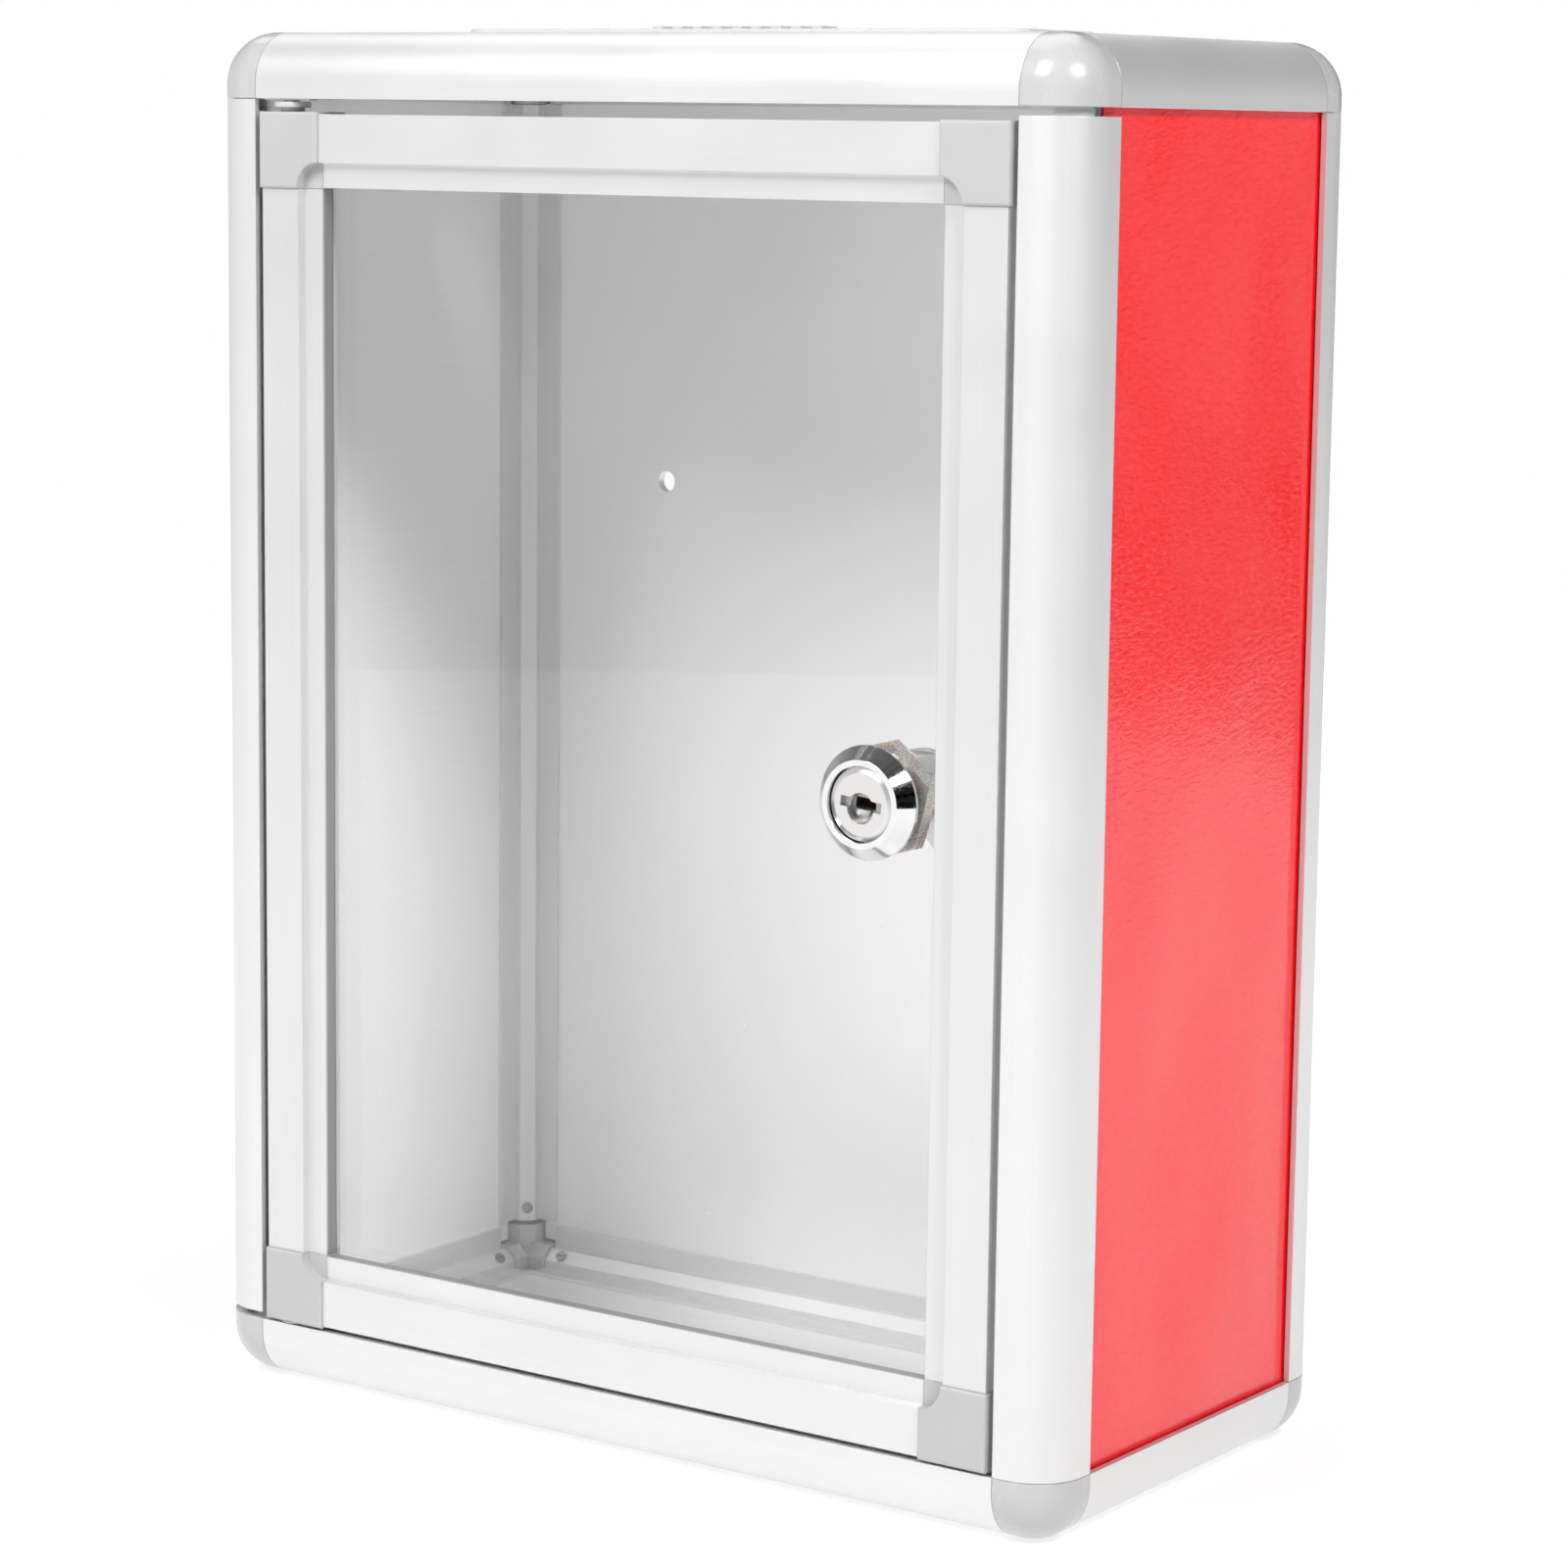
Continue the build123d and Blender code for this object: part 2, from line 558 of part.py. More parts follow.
def lock_plug():
    """The plug that the key turns: round head, keyway, shank and square tail."""
    face = plug_face()
    head_back = face + PLUG_HEAD
    shoulder = BARREL_END + CAM_GAP
    tail_end = shoulder + CAM_THICK - CLOSE_FIT
    points = [
        (0, face), (PLUG_HEAD_R - PLUG_BEVEL[0], face), (PLUG_HEAD_R, face + PLUG_BEVEL[1]),
        (PLUG_HEAD_R, head_back), (PLUG_R, head_back), (PLUG_R, shoulder), (0, shoulder),
    ]
    plug = turned(points)
    tail = Pos(0, 0, shoulder) * Box(TAIL_SIDE, TAIL_SIDE, 2 * (tail_end - shoulder))
    plug += Rot(0, 0, CAM_DROP) * tail
    plug -= Pos(0, 0, face) * key_hole()
    bolt_hole = Cylinder(BOLT_R, 2 * BOLT_LENGTH)
    plug -= Pos(0, 0, tail_end) * bolt_hole
    return on_lock_axis(plug)


def cam_side_view():
    """Outline of the cam from the side: X away from the lock's axis, Y back."""
    front = BARREL_END + CAM_GAP
    run = CAM_CRANK_END - CAM_CRANK_START
    drop = front - CAM_TIP_Y
    shift = CAM_THICK * (sqrt(run ** 2 + drop ** 2) - run) / drop
    points = [
        (-CAM_HUB_R, front), (CAM_CRANK_START, front), (CAM_CRANK_END, CAM_TIP_Y), (CAM_TIP, CAM_TIP_Y),
        (CAM_TIP, CAM_TIP_Y + CAM_THICK), (CAM_CRANK_END + shift, CAM_TIP_Y + CAM_THICK),
        (CAM_CRANK_START + shift, front + CAM_THICK), (-CAM_HUB_R, front + CAM_THICK),
    ]
    return make_face(Polyline(*points, close=True).edges())


def lock_cam():
    """Cranked steel cam on the plug's square tail; at rest it is turned clear of the post."""
    strip = Rot(90, 0, 0) * extrude(cam_side_view(), amount=CAM_HUB_R, both=True)
    plan = Pos(CAM_TIP / 2, 0) * RectangleRounded(CAM_TIP, CAM_WIDTH, CAM_CORNER)
    plan += Pos(CAM_TIP / 4, 0) * Rectangle(CAM_TIP / 2, CAM_WIDTH)
    plan += Circle(CAM_HUB_R)
    cam = strip & extrude(plan, amount=2 * BARREL_END)
    hole_side = TAIL_SIDE + 2 * TAIL_FIT
    cam -= Pos(0, 0, BARREL_END) * Box(hole_side, hole_side, 4 * CAM_THICK)
    return on_lock_axis(Rot(0, 0, CAM_DROP) * cam)


def cam_washer():
    """Plain washer under the cam's screw."""
    seat = BARREL_END + CAM_GAP + CAM_THICK
    ring = Cylinder(WASHER_R, WASHER_THICK) - Cylinder(BOLT_R + 2 * BOLT_HOLE_FIT, 4 * WASHER_THICK)
    return on_lock_axis(Pos(0, 0, seat + WASHER_THICK / 2) * ring)


def cam_screw():
    """Cross-recessed screw that holds the cam on the plug."""
    seat = BARREL_END + CAM_GAP + CAM_THICK + WASHER_THICK
    head = Pos(0, 0, BOLT_HEAD / 2) * Cylinder(BOLT_HEAD_R, BOLT_HEAD)
    head = fillet(head.edges().group_by(Axis.Z)[-1], BOLT_HEAD_EDGE)
    shank_r = BOLT_R - BOLT_HOLE_FIT
    shank = Cylinder(shank_r, BOLT_LENGTH, align=(Align.CENTER, Align.CENTER, Align.MAX))
    screw = head + shank
    for turn in (0, 90):
        screw -= Pos(0, 0, BOLT_HEAD) * Rot(0, 0, turn) * Box(CROSS[0], CROSS[1], 2 * CROSS[2])
    return on_lock_axis(Pos(0, 0, seat) * screw)


# ---- all the nodes ---------------------------------------------------------------------------
def frame_nodes():
    """The twelve case extrusions."""
    gaps = {
        "post_front_right": (CLOSE_FIT, GAP_FRONT_RIGHT_TOP),
        "post_front_left": (GAP_FRONT_LEFT_BOTTOM, CLOSE_FIT),
        "post_rear_left": (GAP_REAR_LEFT_BOTTOM, CLOSE_FIT),
    }
    nodes = {}
    for depth_name in ("front", "rear"):
        for side in ("left", "right"):
            name = f"post_{depth_name}_{side}"
            low, high = gaps.get(name, (CLOSE_FIT, CLOSE_FIT))
            nodes[name] = frame_extrusion(2, (SIGNS[side], SIGNS[depth_name]), low, high)
    for level in ("top", "bottom"):
        for depth_name in ("front", "rear"):
            name = f"rail_{level}_{depth_name}"
            nodes[name] = frame_extrusion(0, (SIGNS[depth_name], SIGNS[level]))
        for side in ("left", "right"):
            name = f"rail_{level}_{side}"
            nodes[name] = frame_extrusion(1, (SIGNS[side], SIGNS[level]))
    return nodes


def connector_nodes():
    """The eight corner connectors, and all their screws as one group."""
    nodes = {}
    connector = corner_connector()
    screws = []
    for level in ("top", "bottom"):
        for depth_name in ("front", "rear"):
            for side in ("left", "right"):
                plane = corner_plane(SIGNS[side], SIGNS[depth_name], SIGNS[level])
                nodes[f"corner_{level}_{depth_name}_{side}"] = plane * connector
                screws += [plane * frame * corner_screw() for frame in arm_frames()]
    nodes["corner_screws"] = Compound(children=screws)
    return nodes


def panel_nodes():
    return {
        "side_panel_left": side_panel(-1),
        "side_panel_right": side_panel(1),
        "back_panel": back_panel(),
        "top_panel": top_panel(),
        "bottom_panel": level_panel(-1),
        "slot_plate": slot_plate(),
    }


def door_nodes():
    """Door extrusions, corner pieces, pane, hinge parts and lock."""
    nodes = {
        "door_stile_left": door_member(-1, 0),
        "door_stile_right": door_member(1, 0),
        "door_rail_top": door_member(0, 1),
        "door_rail_bottom": door_member(0, -1),
        "door_window": door_window(),
    }
    for level in ("top", "bottom"):
        for side in ("left", "right"):
            nodes[f"door_corner_{level}_{side}"] = door_corner(SIGNS[side], SIGNS[level])
        nodes[f"hinge_pivot_{level}"] = hinge_pivot(level)
        nodes[f"hinge_bush_{level}"] = hinge_bush(level)
    nodes["lock_body"] = lock_body()
    nodes["lock_nut"] = lock_nut()
    nodes["lock_plug"] = lock_plug()
    nodes["lock_cam"] = lock_cam()
    nodes["cam_washer"] = cam_washer()
    nodes["cam_screw"] = cam_screw()
    return nodes


def main():
    os.makedirs("parts", exist_ok=True)
    for make_nodes in (frame_nodes, connector_nodes, panel_nodes, door_nodes):
        for name, shape in make_nodes().items():
            export_step(shape, f"parts/{name}.step")


main()
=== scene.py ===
"""Looks for the donation box: materials on the CAD nodes, then floor, light, world and camera."""

from math import cos, radians, sin

import bpy
from mathutils import Matrix, Vector


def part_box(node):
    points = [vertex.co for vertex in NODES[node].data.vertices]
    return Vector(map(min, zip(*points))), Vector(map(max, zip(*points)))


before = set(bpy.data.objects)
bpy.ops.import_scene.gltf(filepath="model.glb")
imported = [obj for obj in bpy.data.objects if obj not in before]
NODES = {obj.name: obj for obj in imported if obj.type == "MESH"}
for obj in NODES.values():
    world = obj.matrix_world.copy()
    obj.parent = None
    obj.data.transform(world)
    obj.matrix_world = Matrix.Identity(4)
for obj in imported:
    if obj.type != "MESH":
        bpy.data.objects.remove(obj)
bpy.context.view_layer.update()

# ---- camera -------------------------------------------------------------------------------------
CAMERA_PLACE = Vector((0.49277, -0.68741, 0.25083))
CAMERA_AZIMUTH = radians(34.67)
CAMERA_DOWN = radians(8.692)
CAMERA_ROLL = radians(0.802)
CAMERA_LENS = 100.49
CAMERA_SHIFT = (-0.03325, 0.0094)


def make_camera():
    """Camera at the photograph's viewing angle."""
    ahead = Vector((
        -sin(CAMERA_AZIMUTH) * cos(CAMERA_DOWN),
        cos(CAMERA_AZIMUTH) * cos(CAMERA_DOWN),
        -sin(CAMERA_DOWN),
    ))
    level = ahead.cross(Vector((0, 0, 1))).normalized()
    up = level.cross(ahead)
    right = cos(CAMERA_ROLL) * level + sin(CAMERA_ROLL) * up
    top = -sin(CAMERA_ROLL) * level + cos(CAMERA_ROLL) * up
    data = bpy.data.cameras.new("camera")
    data.sensor_width = 36
    data.lens = CAMERA_LENS
    data.shift_x, data.shift_y = CAMERA_SHIFT
    data.clip_start = 0.01
    camera = bpy.data.objects.new("camera", data)
    turn = Matrix((right, top, -ahead)).transposed().to_4x4()
    camera.matrix_world = Matrix.Translation(CAMERA_PLACE) @ turn
    bpy.context.scene.collection.objects.link(camera)
    bpy.context.scene.camera = camera


# ---- building node materials ----------------------------------------------------------------------
class Graph:
    """Builds the nodes of one material or world."""

    def __init__(self, owner):
        owner.use_nodes = True
        self.tree = owner.node_tree
        self.tree.nodes.clear()

    def node(self, kind, inputs=None, **settings):
        """A new node. inputs holds a value or an output socket for each input, by name or number."""
        node = self.tree.nodes.new(kind)
        for name, value in settings.items():
            setattr(node, name, value)
        for name, value in (inputs or {}).items():
            self.put(node.inputs[name], value)
        return node

    def put(self, socket, value):
        """Links an output socket to an input, or sets the input's own value."""
        if isinstance(value, bpy.types.NodeSocket):
            self.tree.links.new(value, socket)
        else:
            socket.default_value = value

    def place(self):
        """Position in the node's own frame, which at rest is the shared frame."""
        return self.node("ShaderNodeTexCoord").outputs["Object"]

    def along(self, axis):
        """Position along one axis: 0 is X, 1 is Y and 2 is Z."""
        return self.node("ShaderNodeSeparateXYZ", {"Vector": self.place()}).outputs[axis]

    def stretched(self, scale):
        """Object position multiplied by one number for each axis."""
        return self.node("ShaderNodeMapping", {"Vector": self.place(), "Scale": scale}).outputs[0]

    def noise(self, scale, detail=2.0, rough=0.5, distortion=0.0):
        """Noise from 0 to 1. scale is features per metre, one number or one for each axis."""
        if isinstance(scale, (int, float)):
            scale = (scale, scale, scale)
        values = {
            "Vector": self.stretched(scale), "Scale": 1.0, "Detail": detail, "Roughness": rough,
            "Distortion": distortion,
        }
        return self.node("ShaderNodeTexNoise", values).outputs[0]

    def math(self, operation, first, second=0.5, clamp=False):
        """One arithmetic step on two numbers or sockets."""
        node = self.node("ShaderNodeMath", operation=operation, use_clamp=clamp)
        self.put(node.inputs[0], first)
        self.put(node.inputs[1], second)
        return node.outputs[0]

    def span(self, value, low, high, to_low=0.0, to_high=1.0):
        """Maps low..high smoothly to to_low..to_high, and stops at both ends."""
        values = {"Value": value, "From Min": low, "From Max": high, "To Min": to_low, "To Max": to_high}
        return self.node("ShaderNodeMapRange", values, interpolation_type="SMOOTHSTEP").outputs[0]

    def mix(self, share, first, second):
        """Mix of two colours."""
        node = self.node("ShaderNodeMix", data_type="RGBA")
        self.put(node.inputs[0], share)
        self.put(node.inputs[6], first)
        self.put(node.inputs[7], second)
        return node.outputs[2]

    def scaled(self, value, weight):
        """A socket's value times a plain number."""
        return self.math("MULTIPLY", value, weight)

    def bump(self, height, distance, strength=1.0, under=None):
        """Normal for a height from 0 to 1 that stands for distance in metres."""
        values = {"Height": height, "Distance": distance, "Strength": strength}
        if under is not None:
            values["Normal"] = under
        return self.node("ShaderNodeBump", values).outputs[0]

    def soft_edge(self, radius):
        """Normal with edges rounded to a radius in metres."""
        return self.node("ShaderNodeBevel", {"Radius": radius}, samples=4).outputs[0]

    def edge_mask(self, rounded):
        """1 along edges and 0 on faces, from a soft_edge normal."""
        true_normal = self.node("ShaderNodeNewGeometry").outputs["Normal"]
        dot = self.node("ShaderNodeVectorMath", {0: rounded, 1: true_normal}, operation="DOT_PRODUCT")
        return self.span(dot.outputs["Value"], 0.995, 0.8)

    def surface(self, **values):
        """One Principled shader to the output. Keys are socket names with _ for spaces."""
        inputs = {name.replace("_", " "): value for name, value in values.items()}
        shader = self.node("ShaderNodeBsdfPrincipled", inputs)
        self.node("ShaderNodeOutputMaterial", {"Surface": shader.outputs[0]})


# ---- materials ------------------------------------------------------------------------------------
DOOR_STEP = 0.00145     # from the door profile's outer flat back to its inner strip
WALL_SKIN = 0.0001      # how far off a wall still counts as on it
WALL_SHADE_FADE = 0.0008      # how far behind the step the painted shade on the inner walls reaches its full grey
# grey of the painted shade on the door profile's inner walls
WALL_SHADE_GREY = 0.2
WALL_SHADE_COVER = 0.72       # how much of the aluminium's colour the painted grey shade replaces
PLUG_FACE = -0.0477     # Y of the lock plug's face
RED_FROM = 0.0979       # distance from the middle plane where a side panel's red outer skin starts


def grey(level, warm=0.0):
    """A neutral colour, or a slightly warm one."""
    return (level * (1 + warm), level, level * (1 - warm), 1.0)


def scaled_along(axis, across, along):
    """Noise scale that is long along one axis."""
    scale = [across, across, across]
    scale[axis] = along
    return tuple(scale)


def anodised(name, axis, level=0.8, rough=0.45, edge_radius=0.00022, walls=False):
    """Satin anodised extrusion: fine die lines along it, blasted grain, edges painted brighter as wear and as
    a painted highlight.

    walls paints a dark grey shade on the door profile's inner walls, in front of the pane.
    """
    material = bpy.data.materials.new(name)
    g = Graph(material)
    lines = g.noise(scaled_along(axis, 1900.0, 14.0), detail=2.0, rough=0.6)
    grain = g.noise(4200.0, detail=1.0)
    cloud = g.noise(38.0, detail=2.0)
    rounded = g.soft_edge(edge_radius)
    edge_wear_and_highlight = g.edge_mask(rounded)
    tone = g.math("ADD", g.scaled(lines, 0.35), g.scaled(cloud, 0.65))
    tone = g.math("ADD", tone, g.scaled(g.math("SUBTRACT", grain, 0.5), 0.5))
    colour = g.mix(tone, grey(level - 0.05), grey(level + 0.04))
    # Edges painted lighter: partly wear, partly a painted highlight.
    colour = g.mix(g.scaled(edge_wear_and_highlight, 0.5), colour, grey(0.95))
    # Painted shade: the door profile's inner walls round the pane turn grey, more so further back from the
    # lip.
    if walls:
        colour = g.mix(g.scaled(inner_wall_shade(g), WALL_SHADE_COVER), colour, grey(WALL_SHADE_GREY))
    roughness = g.span(cloud, 0.3, 0.7, rough - 0.015, rough + 0.02)
    roughness = g.math("SUBTRACT", roughness, g.scaled(edge_wear_and_highlight, 0.1))
    height = g.math("ADD", g.scaled(grain, 0.7), g.scaled(lines, 0.2))
    normal = g.bump(height, 0.00002, 0.5, rounded)
    g.surface(Base_Color=colour, Metallic=0.6, Roughness=roughness, Normal=normal)
    return material


def inner_wall_shade(g):
    """Mask of the painted shade: 1 on the door profile's walls round the pane, from its front lip back, 0
    elsewhere.
    """
    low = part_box("door_rail_bottom")[1][2]
    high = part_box("door_rail_top")[0][2]
    side, outer_front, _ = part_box("door_stile_right")[0]
    front = outer_front + DOOR_STEP
    across = g.math("ABSOLUTE", g.along(0))
    within = g.span(across, side + WALL_SKIN, side + 2 * WALL_SKIN, 1.0, 0.0)
    up = g.math("ABSOLUTE", g.math("SUBTRACT", g.along(2), (low + high) / 2))
    half = (high - low) / 2
    within = g.math("MULTIPLY", within, g.span(up, half + WALL_SKIN, half + 2 * WALL_SKIN, 1.0, 0.0))
    return g.math("MULTIPLY", within, g.span(g.along(1), front + WALL_SKIN, front + WALL_SHADE_FADE))


def brushed_sheet(name, axis, level=0.95, rough=0.3):
    """Satin aluminium sheet with a faint brushed grain."""
    material = bpy.data.materials.new(name)
    g = Graph(material)
    lines = g.noise(scaled_along(axis, 3400.0, 160.0), detail=2.0, rough=0.6)
    grain = g.noise(2600.0, detail=2.0)
    cloud = g.noise(9.0, detail=1.0)
    tone = g.math("ADD", g.scaled(lines, 0.3), g.scaled(grain, 0.45))
    tone = g.math("ADD", tone, g.scaled(cloud, 0.25))
    colour = g.mix(tone, grey(level - 0.04), grey(level + 0.03))
    roughness = g.span(lines, 0.2, 0.8, rough - 0.01, rough + 0.02)
    normal = g.bump(g.math("ADD", g.scaled(lines, 0.4), grain), 0.000008, 0.35)
    g.surface(Base_Color=colour, Metallic=0.2, Roughness=roughness, Normal=normal)
    return material


def red_sheet(name, side):
    """Side panel: gloss red lacquer with a fine leathery orange peel outside, brushed inside."""
    material = bpy.data.materials.new(name)
    g = Graph(material)
    outward = g.scaled(g.along(0), side)
    painted = g.span(outward, RED_FROM - 0.0001, RED_FROM + 0.0001)
    wrinkle = g.noise((900.0, 430.0, 1150.0), detail=3.0, rough=0.55, distortion=0.6)
    wave = g.noise((20.0, 24.0, 18.0), detail=1.0, rough=0.4)
    cloud = g.noise(16.0, detail=2.0)
    lines = g.noise(scaled_along(1, 2600.0, 22.0), detail=4.0, rough=0.65)
    red = g.mix(g.span(wrinkle, 0.3, 0.7), (0.93, 0.004, 0.008, 1), (0.99, 0.01, 0.018, 1))
    red = g.mix(g.scaled(g.span(cloud, 0.4, 0.7), 0.25), red, (0.9, 0.003, 0.006, 1))
    metal = g.mix(lines, grey(0.88), grey(0.97))
    colour = g.mix(painted, metal, red)
    inside = g.math("SUBTRACT", 1.0, painted)
    height = g.math("ADD", g.scaled(wrinkle, 0.1), g.scaled(wave, 3.0))
    normal = g.bump(g.math("MULTIPLY", height, painted), 0.0006, 1.0)
    roughness = g.span(painted, 0.0, 1.0, 0.26, 0.3)
    g.surface(
        Base_Color=colour, Metallic=g.scaled(inside, 0.2), Roughness=roughness, Normal=normal,
        Coat_Weight=painted, Coat_Roughness=0.05, Coat_IOR=1.5, Specular_IOR_Level=0.15,
        Coat_Normal=normal,
    )
    return material


def moulded(name, level, rough, warm=0.0, texture=0.00002, coat=0.0):
    """Moulded plastic: faint flow marks, fine spark-eroded texture, soft edges painted lighter as wear and as
    a painted highlight.
    """
    material = bpy.data.materials.new(name)
    g = Graph(material)
    texture_noise = g.noise(3200.0, detail=2.0)
    flow = g.noise((70.0, 110.0, 60.0), detail=3.0, distortion=0.8)
    rounded = g.soft_edge(0.0005)
    edge_wear_and_highlight = g.edge_mask(rounded)
    tone = g.math("ADD", g.scaled(flow, 0.7), g.scaled(texture_noise, 0.3))
    colour = g.mix(tone, grey(level - 0.035, warm), grey(level + 0.03, warm))
    # Edges painted lighter: partly wear, partly a painted highlight.
    colour = g.mix(g.scaled(edge_wear_and_highlight, 0.35), colour, grey(min(level + 0.15, 0.95), warm))
    roughness = g.span(flow, 0.3, 0.7, rough - 0.03, rough + 0.05)
    normal = g.bump(texture_noise, texture, 0.6, rounded)
    g.surface(
        Base_Color=colour, Roughness=roughness, Normal=normal, Specular_IOR_Level=0.5,
        Coat_Weight=coat, Coat_Roughness=0.12,
    )
    return material


def plated(name, level, rough, warm=0.0, scratch=0.5):
    """Polished or satin plating with fine random scratches and a slightly uneven surface."""
    material = bpy.data.materials.new(name)
    g = Graph(material)
    fine = g.noise((5200.0, 5200.0, 700.0), detail=2.0, distortion=0.3)
    cloud = g.noise(420.0, detail=2.0)
    marks = g.span(g.noise((300.0, 300.0, 4000.0), detail=1.0), 0.62, 0.75)
    rounded = g.soft_edge(0.00012)
    colour = g.mix(cloud, grey(level - 0.05, warm), grey(level + 0.04, warm))
    roughness = g.span(fine, 0.3, 0.75, rough, rough + 0.07 + 0.1 * scratch)
    roughness = g.math("ADD", roughness, g.scaled(marks, 0.06 * scratch))
    height = g.math("ADD", g.scaled(cloud, 0.8), g.scaled(fine, 0.2 * scratch))
    normal = g.bump(height, 0.00002, 0.5, rounded)
    g.surface(Base_Color=colour, Metallic=1.0, Roughness=roughness, Normal=normal)
    return material


def keyed_plug(name, face):
    """Satin nickel plug face; walls and floor of the keyway darken with depth as painted shade, and deeper
    down turn to brass.
    """
    material = bpy.data.materials.new(name)
    g = Graph(material)
    depth = g.math("SUBTRACT", g.along(1), face)
    brushed = g.noise((5200.0, 5200.0, 2600.0), detail=1.0)
    nickel = g.mix(brushed, grey(0.74, 0.01), grey(0.78, 0.014))
    # Painted shade: the keyway grows darker with depth.
    colour = g.mix(g.span(depth, 0.0001, 0.0009), nickel, grey(0.42))
    colour = g.mix(g.span(depth, 0.002, 0.0032), colour, (0.3, 0.19, 0.07, 1))
    rounded = g.soft_edge(0.0001)
    normal = g.bump(brushed, 0.000002, 0.3, rounded)
    g.surface(Base_Color=colour, Metallic=0.85, Roughness=g.span(brushed, 0.3, 0.7, 0.3, 0.34), Normal=normal)
    return material


def passivated(name):
    """Zinc plating with the faint pink and green bloom of its passivation."""
    material = bpy.data.materials.new(name)
    g = Graph(material)
    bloom = g.noise(330.0, detail=2.0, distortion=0.6)
    fine = g.noise(4200.0, detail=2.0)
    colour = g.mix(g.span(bloom, 0.4, 0.6), (0.86, 0.66, 0.65, 1), (0.84, 0.85, 0.78, 1))
    normal = g.bump(fine, 0.000006, 0.4, g.soft_edge(0.00015))
    g.surface(Base_Color=colour, Metallic=0.7, Roughness=g.span(fine, 0.3, 0.7, 0.22, 0.3), Normal=normal)
    return material


def clear_acrylic(name):
    """Thin clear pane: lets light and sight through, mirrors at its faces, with a little dust."""
    material = bpy.data.materials.new(name)
    g = Graph(material)
    specks = g.node("ShaderNodeTexVoronoi", {"Vector": g.stretched((420.0, 420.0, 420.0)), "Scale": 1.0})
    dust = g.span(specks.outputs["Distance"], 0.05, 0.11, 1.0, 0.0)
    lot = g.node("ShaderNodeSeparateColor", {"Color": specks.outputs["Color"]}).outputs[0]
    few = g.span(lot, 0.93, 0.95)
    dust = g.math("MULTIPLY", dust, few)
    facing = g.node("ShaderNodeLayerWeight", {"Blend": 0.5}).outputs["Facing"]
    fresnel = g.math("ADD", g.scaled(g.math("POWER", facing, 5.0), 0.96), 0.04)
    mirror = g.node("ShaderNodeBsdfPrincipled", {
        "Base Color": grey(0.975), "Metallic": 1.0, "Roughness": 0.015,
    })
    clear = g.node("ShaderNodeBsdfTransparent", {"Color": grey(0.994)})
    share = g.math("ADD", fresnel, g.scaled(dust, 0.35), clamp=True)
    # Light on its way to other surfaces passes almost untouched, so the inside isn't left dim.
    paths = g.node("ShaderNodeLightPath").outputs
    lighting = g.math("MAXIMUM", paths["Is Shadow Ray"], paths["Is Diffuse Ray"])
    share = g.math("MULTIPLY", share, g.math("SUBTRACT", 1.0, g.scaled(lighting, 0.9)))
    pane = g.node("ShaderNodeMixShader", {0: share, 1: clear.outputs[0], 2: mirror.outputs[0]})
    g.node("ShaderNodeOutputMaterial", {"Surface": pane.outputs[0]})
    return material


# ---- materials on the CAD nodes --------------------------------------------------------------------
def paint(node, material):
    """Puts one material on all of a CAD node's slots."""
    piece = NODES[node]
    if not piece.material_slots:
        piece.data.materials.append(material)
    for slot in piece.material_slots:
        slot.link = "OBJECT"
        slot.material = material


def paint_case():
    """Extrusions, connectors and panels."""
    axis_materials = [anodised(f"case_aluminium_{'xyz'[axis]}", axis) for axis in range(3)]
    for name in NODES:
        if name.startswith("post_"):
            paint(name, axis_materials[2])
        if name.startswith("rail_"):
            paint(name, axis_materials[1 if name.endswith(("left", "right")) else 0])
    connector = moulded("connector_plastic", 0.53, 0.26, coat=0.4)
    for name in NODES:
        if name.startswith("corner_") and name != "corner_screws":
            paint(name, connector)
    paint("corner_screws", plated("dark_screws", 0.36, 0.4))
    silver = brushed_sheet("silver_sheet", 0)
    for name in ("back_panel", "top_panel", "bottom_panel"):
        paint(name, silver)
    paint("side_panel_right", red_sheet("red_sheet_right", 1))
    paint("side_panel_left", red_sheet("red_sheet_left", -1))
    paint("slot_plate", moulded("slot_plastic", 0.6, 0.4))


def paint_door():
    """Door frame, pane, hinge and lock."""
    # The stile aluminium is set a little darker than the rails' as painted shade.
    stile = anodised("door_aluminium_z", 2, level=0.75, rough=0.42, edge_radius=0.0003, walls=True)
    rail = anodised("door_aluminium_x", 0, level=0.78, rough=0.42, edge_radius=0.0003, walls=True)
    corner = moulded("door_plastic", 0.5, 0.42)
    for name in NODES:
        if name.startswith("door_stile"):
            paint(name, stile)
        if name.startswith("door_rail"):
            paint(name, rail)
        if name.startswith("door_corner"):
            paint(name, corner)
    paint("door_window", clear_acrylic("clear_acrylic"))
    nylon = moulded("nylon", 0.58, 0.4, warm=0.015)
    pins = plated("pin_steel", 0.6, 0.28)
    for end in ("top", "bottom"):
        paint(f"hinge_bush_{end}", nylon)
        paint(f"hinge_pivot_{end}", pins)
    chrome = plated("lock_chrome", 0.78, 0.04, scratch=0.3)
    paint("lock_body", chrome)
    paint("lock_nut", passivated("nut_zinc"))
    paint("lock_plug", keyed_plug("plug_nickel", PLUG_FACE))
    zinc = plated("zinc_plate", 0.68, 0.3, warm=0.02)
    for name in ("lock_cam", "cam_washer", "cam_screw"):
        paint(name, zinc)


# ---- floor, light and world ------------------------------------------------------------------------
FLOOR_RADIUS = 1.25
FLOOR_SIDES = 60
FLOOR_GLOW = 1.22       # strength of the floor's own light, far from the box
LIGHTS_AIM = Vector((0, 0, 0.14))
LIGHTS = (
    # name, direction from the box, distance and side in metres, watts
    ("softbox_front", (-0.185, -0.707, 0.683), 1.5, 0.6, 14),
    ("softbox_right", (0.696, -0.331, 0.637), 1.5, 0.36, 15),
    ("softbox_top", (-0.5, 0.5, 1.2), 1.8, 1.4, 9),
)
OPEN_LEFT = Vector((-0.72, -0.66, 0.2))         # where the surroundings are bright
DARK_RIGHT = Vector((0.85, -0.4, 0.35))         # where they are nearly black


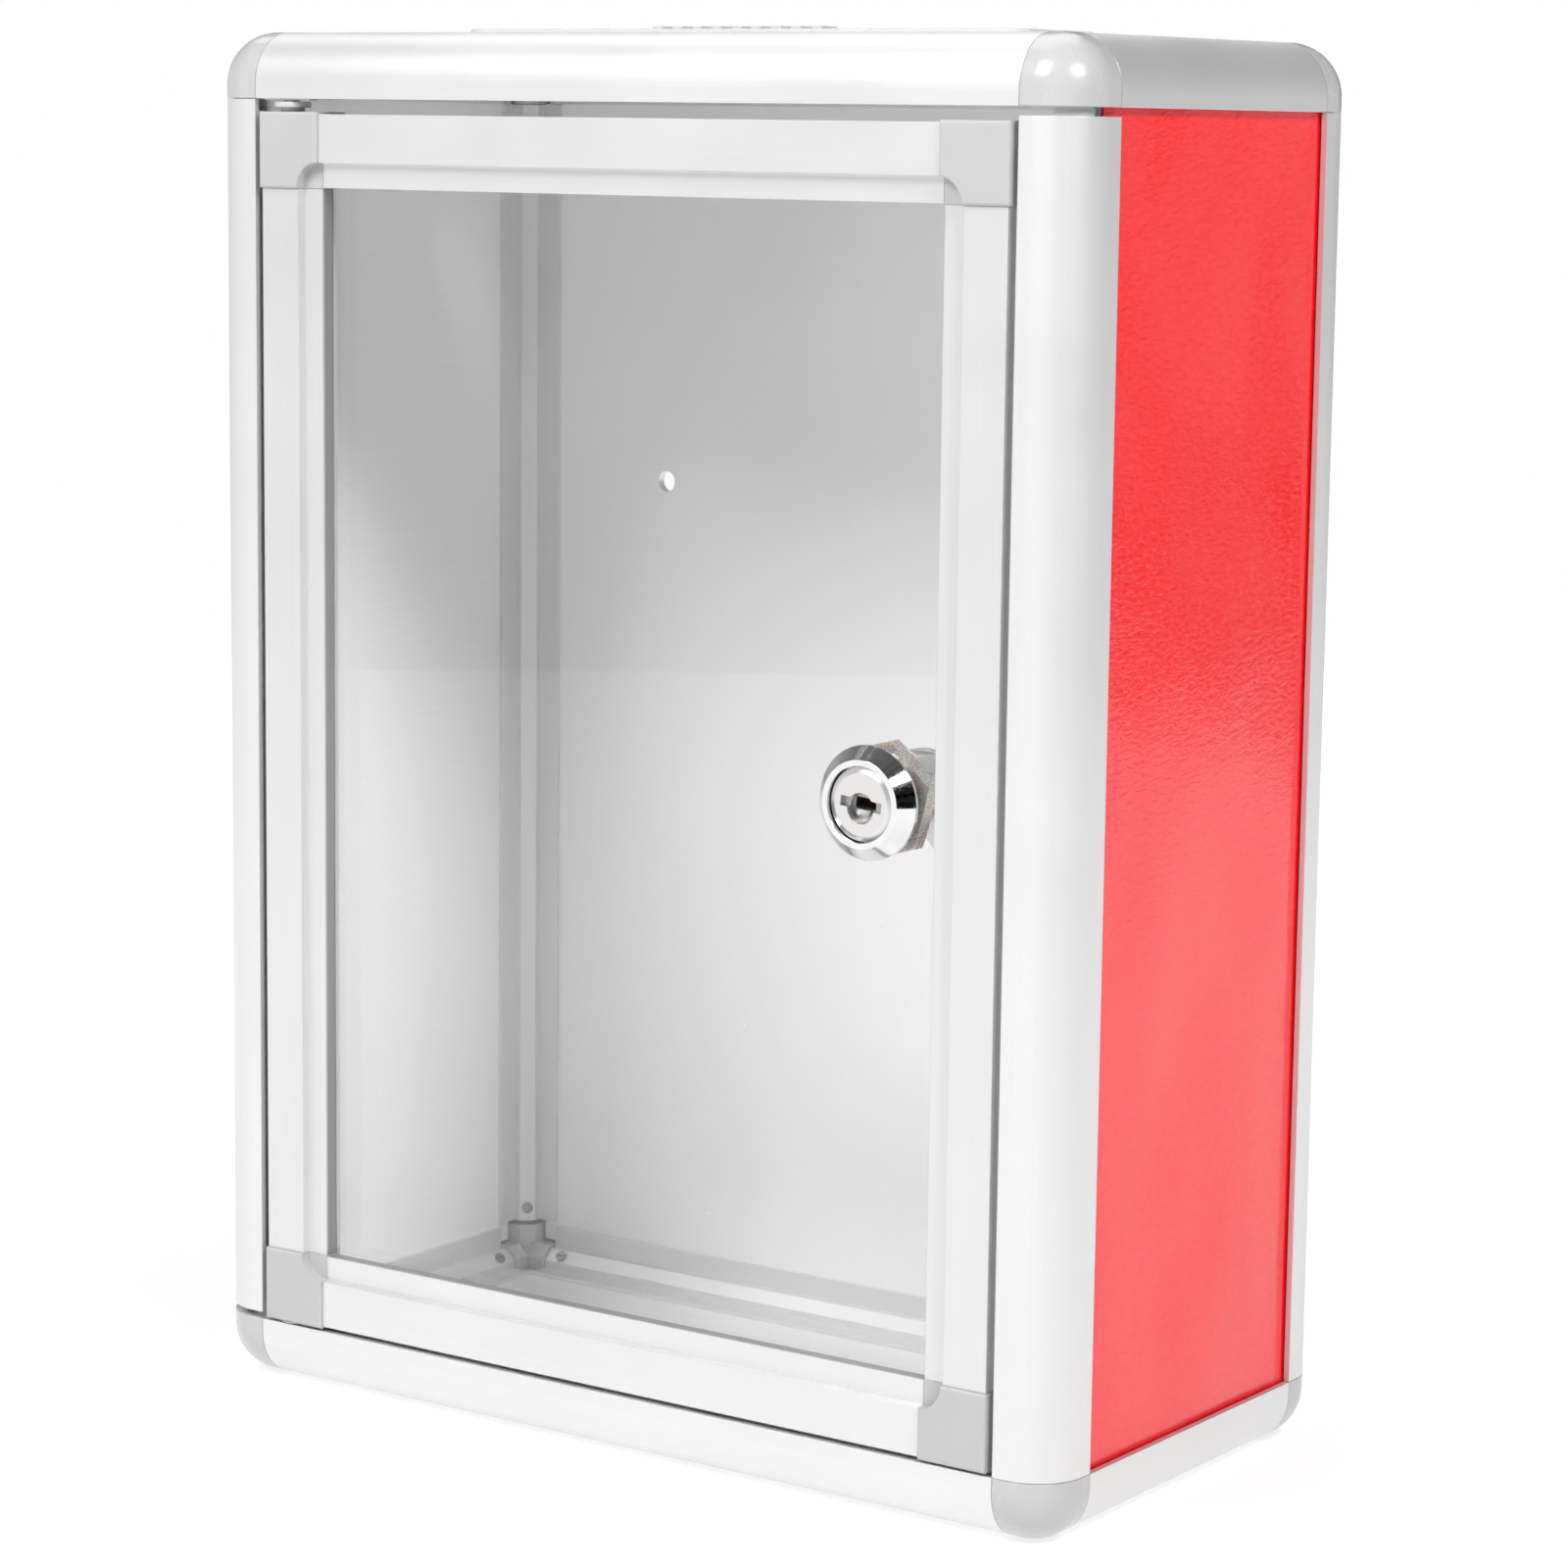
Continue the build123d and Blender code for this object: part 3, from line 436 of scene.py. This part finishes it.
def make_floor():
    """Plain pale floor that brightens to plain white away from the box."""
    mesh = bpy.data.meshes.new("floor")
    turns = [radians(360 * i / FLOOR_SIDES) for i in range(FLOOR_SIDES)]
    rim = [(FLOOR_RADIUS * cos(turn), FLOOR_RADIUS * sin(turn), 0) for turn in turns]
    mesh.from_pydata(rim, [], [tuple(range(FLOOR_SIDES))])
    floor = bpy.data.objects.new("floor", mesh)
    bpy.context.scene.collection.objects.link(floor)
    material = bpy.data.materials.new("floor")
    g = Graph(material)
    cloud = g.noise(3.0, detail=2.0)
    distance = g.node("ShaderNodeVectorMath", {0: g.place()}, operation="LENGTH").outputs["Value"]
    glow = g.span(distance, 0.05, 0.6, 0.55, 1.0)
    lit = g.node("ShaderNodeBsdfDiffuse", {"Color": g.mix(cloud, grey(0.90), grey(0.93))})
    plain = g.node("ShaderNodeEmission", {"Color": (1, 1, 1, 1), "Strength": FLOOR_GLOW})
    both = g.node("ShaderNodeMixShader", {0: glow, 1: lit.outputs[0], 2: plain.outputs[0]})
    g.node("ShaderNodeOutputMaterial", {"Surface": both.outputs[0]})
    mesh.materials.append(material)


def area_light(name, toward, distance, size, power):
    """Square area light in a direction from the box, facing its middle."""
    data = bpy.data.lights.new(name, "AREA")
    data.shape = "SQUARE"
    data.size = size
    data.energy = power
    light = bpy.data.objects.new(name, data)
    direction = Vector(toward).normalized()
    facing = direction.to_track_quat("Z", "Y").to_matrix().to_4x4()
    light.matrix_world = Matrix.Translation(LIGHTS_AIM + direction * distance) @ facing
    bpy.context.scene.collection.objects.link(light)


def make_lights():
    """The three soft lights."""
    for name, toward, distance, size, power in LIGHTS:
        area_light(name, toward, distance, size, power)


def alignment(g, direction, toward):
    """How far a direction points toward another: 1 is the same way, -1 is opposite."""
    node = g.node("ShaderNodeVectorMath", {0: direction, 1: toward.normalized()}, operation="DOT_PRODUCT")
    return node.outputs["Value"]


def make_world():
    """Surroundings: plain white to the camera.

    Reflections and light see them bright at the front left, nearly black at the front right, and
    in soft patches elsewhere.
    """
    world = bpy.data.worlds.new("studio")
    bpy.context.scene.world = world
    g = Graph(world)
    direction = g.node("ShaderNodeTexCoord").outputs["Generated"]
    height = g.node("ShaderNodeSeparateXYZ", {"Vector": direction}).outputs[2]
    patches = g.node(
        "ShaderNodeTexNoise", {"Vector": direction, "W": 4.0, "Scale": 7.0, "Detail": 1.0, "Roughness": 0.4},
        noise_dimensions="4D",
    )
    far = g.span(patches.outputs[0], 0.47, 0.6, 0.02, 0.62)
    dim = g.math("MULTIPLY", far, g.span(height, 0.05, 0.6, 1.0, 0.1))
    bright = g.span(height, 0.05, 0.4, 0.72, 0.18)
    lobe = g.span(alignment(g, direction, OPEN_LEFT), -0.25, 0.75)
    open_side = g.span(alignment(g, direction, DARK_RIGHT), 0.72, 0.9, 1.0, 0.03)
    shade = g.node("ShaderNodeMix", {0: lobe, 2: dim, 3: bright}, data_type="FLOAT").outputs[0]
    shade = g.math("MULTIPLY", shade, open_side)
    seen = g.node("ShaderNodeLightPath").outputs["Is Camera Ray"]
    strength = g.node("ShaderNodeMix", {0: seen, 2: shade, 3: 1.0}, data_type="FLOAT").outputs[0]
    background = g.node("ShaderNodeBackground", {"Color": (1, 1, 1, 1), "Strength": strength})
    g.node("ShaderNodeOutputWorld", {"Surface": background.outputs[0]})


make_camera()
paint_case()
paint_door()
make_floor()
make_lights()
make_world()
bpy.context.scene.view_settings.view_transform = "Standard"
